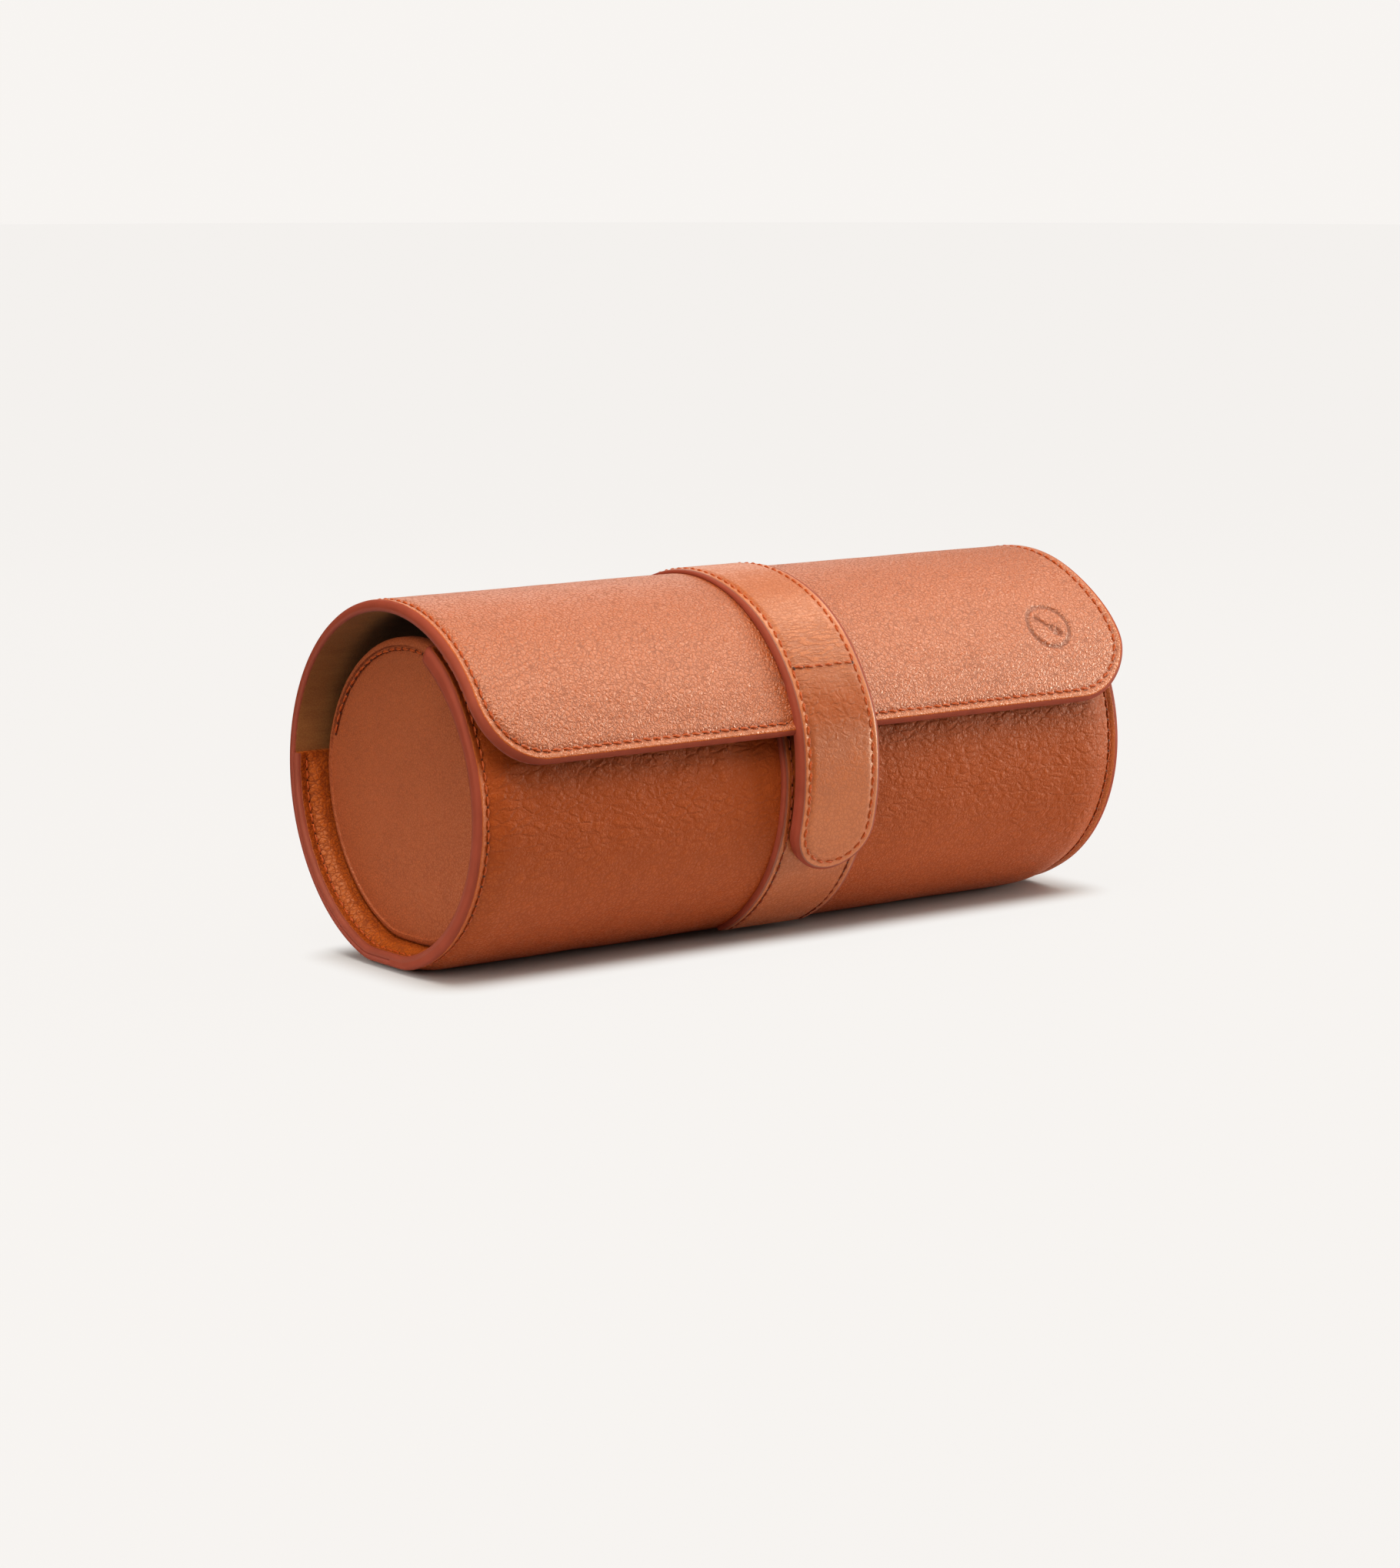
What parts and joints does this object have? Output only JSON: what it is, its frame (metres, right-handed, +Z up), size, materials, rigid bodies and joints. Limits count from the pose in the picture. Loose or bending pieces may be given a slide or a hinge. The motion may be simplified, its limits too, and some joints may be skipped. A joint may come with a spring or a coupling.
{
  "type": "brush roll case",
  "caption": "Round wrap-around leather case for artist's brushes, lying on its side, with a fold-over flap, stiff end panels and a magnetic closing strap.",
  "frame": {"origin": "middle of the flat strip of the underside that the case stands on, half way along its length", "axes": "+X along the case towards its right-hand end, -Y towards the front where the tab closes, +Z up"},
  "size_m": [0.208, 0.0953, 0.0954],
  "materials": {
    "outer_leather": "semi-matt pebble grain, tan",
    "strap_leather": "smooth, glossier, creased, tan",
    "lining_leather": "smooth, waxed, orange tan",
    "suede": "suede, olive brown",
    "stiffener_board": "matt grey-brown board",
    "thread": "waxed twisted thread, rust orange",
    "magnet": "nickel plated"
  },
  "bodies": {
    "case": {"outer_wrap": "outer_leather", "wrap_board": "stiffener_board", "wrap_lining": "lining_leather", "left_end_cover": "outer_leather", "left_end_board": "stiffener_board", "left_end_binding": "outer_leather", "left_end_lining": "lining_leather", "right_end_cover": "outer_leather", "right_end_board": "stiffener_board", "right_end_binding": "outer_leather", "right_end_lining": "lining_leather", "landing_strap": "strap_leather", "landing_magnet": "magnet", "left_rim_stitching": "thread", "right_rim_stitching": "thread", "lip_stitching": "thread", "left_end_stitching": "thread", "right_end_stitching": "thread", "landing_stitching": "thread"},
    "flap": {"flap_leather": "outer_leather", "flap_suede": "suede", "flap_strap": "strap_leather", "flap_stitching": "thread", "strap_stitching": "thread", "cross_stitching": "thread"},
    "tab": {"tab_leather": "strap_leather", "tab_lining": "lining_leather", "tab_magnet": "magnet", "tab_stitching": "thread"}
  },
  "joints": [
    {"name": "flap_fold", "type": "hinge", "parent": "case", "child": "flap", "pos_m": [0, 0.0456, 0.05707], "axis": [-1, 0, 0], "range_deg": [0, 140]},
    {"name": "tab_lift", "type": "hinge", "parent": "flap", "child": "tab", "pos_m": [0, -0.04149, 0.07163], "axis": [-1, 0, 0], "range_deg": [0, 70]}
  ]
}
